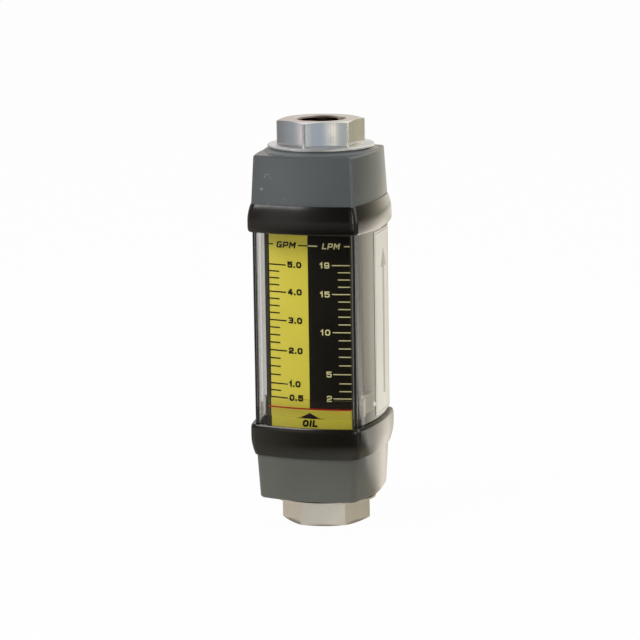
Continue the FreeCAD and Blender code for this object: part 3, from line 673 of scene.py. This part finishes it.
# ---- finishes of the CAD's own pieces
def dress(material, *names):
    for name in names:
        node = nodes[name]
        node.data.materials.clear()
        node.data.materials.append(material)


make_camera()
make_world()
make_floor()
softbox("key", -38, 38, 1.1, 0.7, 0.5, 6.0)
softbox("right_warm", 100, 20, 1.0, 0.6, 0.8, 2.0, (1.0, 0.95, 0.86))

# painted shade: the dark brown of the ports' bores and threads, for the shade inside the hole
bore_painted_shade = (0.23, 0.18, 0.15)
# each port's first two colours are its faces' tints, partly painted reflection streaks
port_upper = drawn_metal("port_upper", (0.80, 0.81, 0.83), (0.84, 0.83, 0.81), bore_painted_shade,
                         0.10, 3.8, 0.06, 0.002, 0.35)
port_lower = drawn_metal("port_lower", (0.80, 0.78, 0.75), (0.83, 0.81, 0.78), bore_painted_shade,
                         0.22, 1.5, 0.04, 0.002)
tube_metal = surface("tube_metal", (0.70, 0.69, 0.67), (0.76, 0.75, 0.72), 0.3, 1.0, mottle=70,
                     stretch=(1.0, 1.0, 0.1), grain_depth=0.0005, rough_spread=0.04)
steel = surface("steel", (0.50, 0.50, 0.50), (0.58, 0.57, 0.55), 0.3, 1.0)
magnet = surface("magnet", (0.10, 0.10, 0.11), (0.14, 0.14, 0.15), 0.45, 0.6)
cap_upper = surface("cap_upper", srgb(80, 85, 88), srgb(86, 91, 93), 0.22, mottle=45,
                    grain_depth=0.0003, rough_spread=0.04, specular=0.6,
                    scuffs=srgb(158, 164, 166))
cap_lower = surface("cap_lower", srgb(90, 91, 86), srgb(95, 96, 91), 0.22, mottle=45,
                    grain_depth=0.0003, rough_spread=0.04, specular=0.6)
guard_upper = surface("guard_upper", srgb(14, 11, 8), srgb(18, 14, 11), 0.20, mottle=50,
                      grain_depth=0.0002, rough_spread=0.03, specular=0.15, coat=0.85,
                      coat_roughness=0.2)
guard_lower = surface("guard_lower", srgb(18, 16, 10), srgb(24, 21, 14), 0.18, mottle=50,
                      grain_depth=0.0002, rough_spread=0.03, specular=0.6)
seal = surface("seal", (0.010, 0.010, 0.010), (0.014, 0.014, 0.014), 0.6)
carrier_black = surface("carrier_black", srgb(30, 26, 24), srgb(36, 32, 28), 0.4)
follower_white = surface("follower_white", srgb(222, 214, 196), srgb(230, 224, 208), 0.45)
label_white = translucent(surface("label_white", srgb(240, 238, 230), srgb(234, 231, 221), 0.35,
                                  mottle=30, grain_depth=0.003), srgb(240, 226, 196), 0.18)
scale_yellow = surface("scale_yellow", srgb(219, 205, 72), srgb(213, 199, 67), 0.5, mottle=30,
                       grain_depth=0.003, specular=0.2)
ink_black = surface("ink_black", srgb(17, 13, 5), srgb(14, 11, 4), 0.5, mottle=40,
                    grain_depth=0.003, specular=0.12)
ink_grey = surface("ink_grey", srgb(168, 165, 155), srgb(174, 171, 161), 0.45, mottle=40,
                   grain_depth=0.003)
line_red = surface("line_red", srgb(168, 26, 12), srgb(156, 22, 10), 0.4, grain_depth=0.003,
                   specular=0.2)
scale_cream = surface("scale_cream", srgb(222, 216, 158), srgb(214, 207, 150), 0.5, mottle=30,
                      grain_depth=0.003, specular=0.2)
# the second colour of each clear part is its painted edge-on shade
window_clear = clear("window_clear", (0.985, 0.985, 0.98), (0.10, 0.08, 0.06), 0.01)
slide_clear = clear("slide_clear", (0.99, 0.99, 0.98), (0.6, 0.56, 0.5), 0.03)

dress(port_upper, "outlet_port")
dress(port_lower, "inlet_port")
dress(tube_metal, "casing_tube", "metering_cone", "piston", "magnet_retainer")
dress(steel, "lower_spider", "upper_spider", "lower_retaining_ring", "upper_retaining_ring",
      "lower_cone_nut", "upper_cone_nut", "spring_seat", "orifice_disc")
dress(magnet, "transfer_magnet", "follower_magnet_right", "follower_magnet_left")
dress(cap_upper, "upper_end_cap")
dress(cap_lower, "lower_end_cap")
dress(guard_upper, "upper_bumper")
dress(guard_lower, "lower_bumper")
dress(seal, "lower_casing_seal", "upper_casing_seal")
dress(carrier_black, "scale_carrier")
dress(follower_white, "follower_ring")
dress(label_white, "wrap_label")
dress(scale_yellow, "scale_plate")
dress(window_clear, "window")
dress(slide_clear, "indicator_band")

print_scale(ink_black, scale_cream)
print_line(line_red)
print_label(ink_grey)
coil_spring("return_spring_coil", "return_spring", 9, 1.1, steel)
pipe_thread("inlet_thread", 0.0, 1, port_lower)
pipe_thread("outlet_thread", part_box("outlet_port")[1].z, -1, port_upper)

bpy.context.scene.view_settings.view_transform = "Standard"
